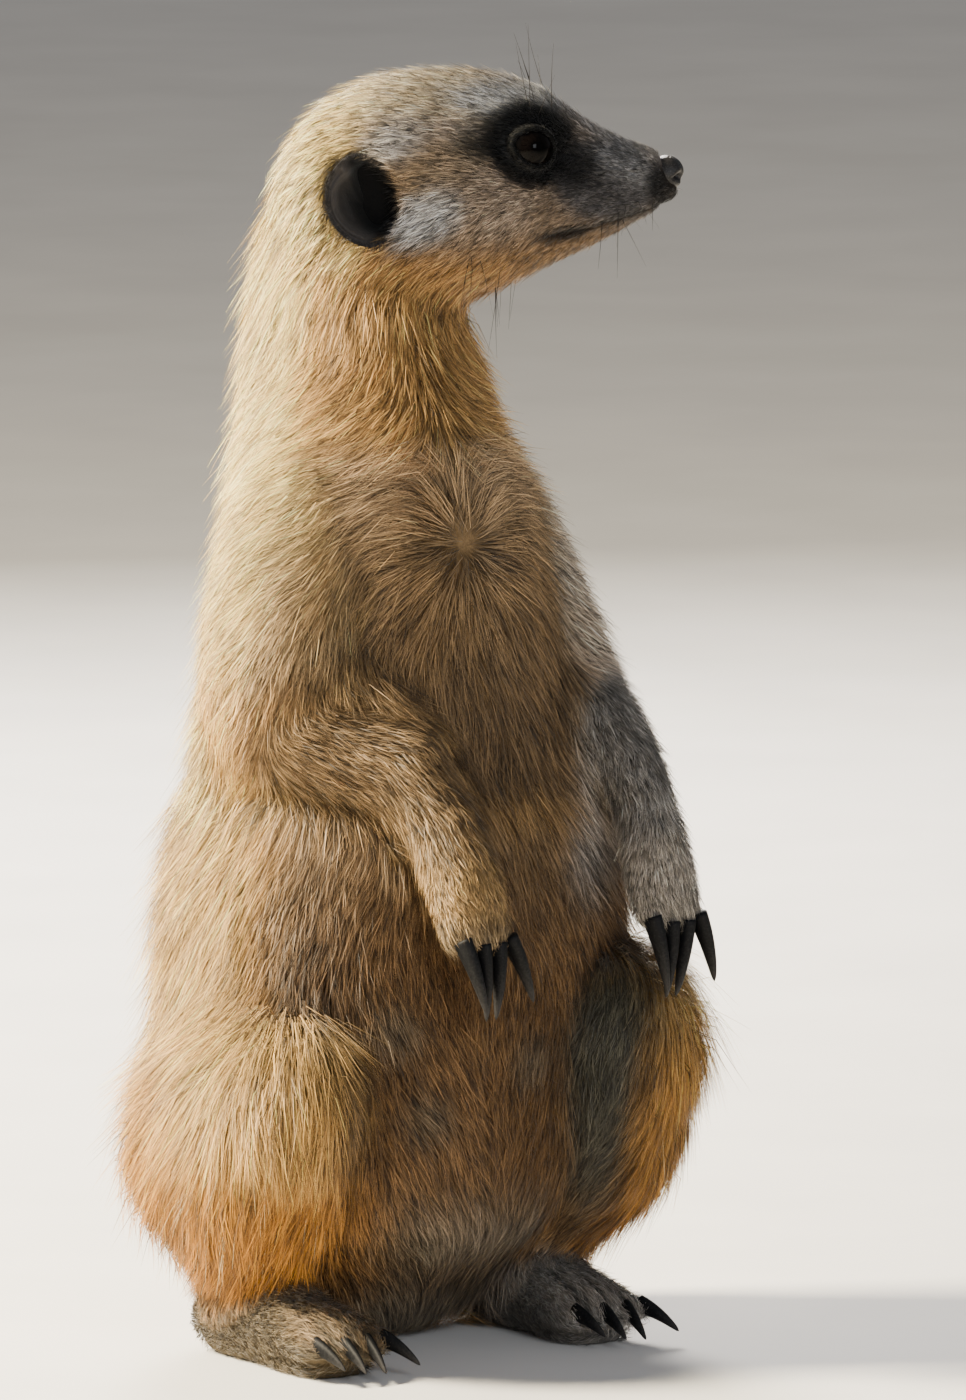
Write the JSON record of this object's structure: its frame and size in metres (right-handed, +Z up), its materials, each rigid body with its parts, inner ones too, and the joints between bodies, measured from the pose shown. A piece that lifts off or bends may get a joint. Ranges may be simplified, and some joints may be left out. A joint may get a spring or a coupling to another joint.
{
  "type": "meerkat",
  "caption": "Life-size meerkat sitting upright on its haunches, head turned to its left, forepaws hanging and tail curled on the floor.",
  "frame": {"origin": "centre of the small flat under the rump, on the floor", "axes": "+Z up, -Y the way the chest faces, +X the animal's left"},
  "size_m": [0.2019, 0.1891, 0.2608],
  "materials": {
    "coat": "fawn fur, golden on the back and haunches, greyer on the face, arms and feet",
    "dark_coat": "black fur of the tail's tip",
    "ear_skin": "black skin with very short black hair",
    "nose_skin": "moist dark brown skin",
    "eye": "wet, very dark brown",
    "claw": "dark blue-grey horn, worn at the point"
  },
  "bodies": {
    "root": {"abdomen": "coat", "thorax": "coat", "neck": "coat", "eye_right": "eye", "eye_left": "eye", "ear_right": "ear_skin", "ear_left": "ear_skin", "nose": "nose_skin", "head": "coat", "lower_jaw": "coat", "upper_arm_right": "coat", "forearm_right": "coat", "hand_right": "coat", "claw_hand_right_1": "claw", "claw_hand_right_2": "claw", "claw_hand_right_3": "claw", "claw_hand_right_4": "claw", "upper_arm_left": "coat", "forearm_left": "coat", "hand_left": "coat", "claw_hand_left_1": "claw", "claw_hand_left_2": "claw", "claw_hand_left_3": "claw", "claw_hand_left_4": "claw", "thigh_right": "coat", "shank_right": "coat", "foot_right": "coat", "claw_foot_right_1": "claw", "claw_foot_right_2": "claw", "claw_foot_right_3": "claw", "claw_foot_right_4": "claw", "thigh_left": "coat", "shank_left": "coat", "foot_left": "coat", "claw_foot_left_1": "claw", "claw_foot_left_2": "claw", "claw_foot_left_3": "claw", "claw_foot_left_4": "claw", "tail_base": "coat", "tail_middle": "coat", "tail_tip": "dark_coat"}
  },
  "joints": []
}
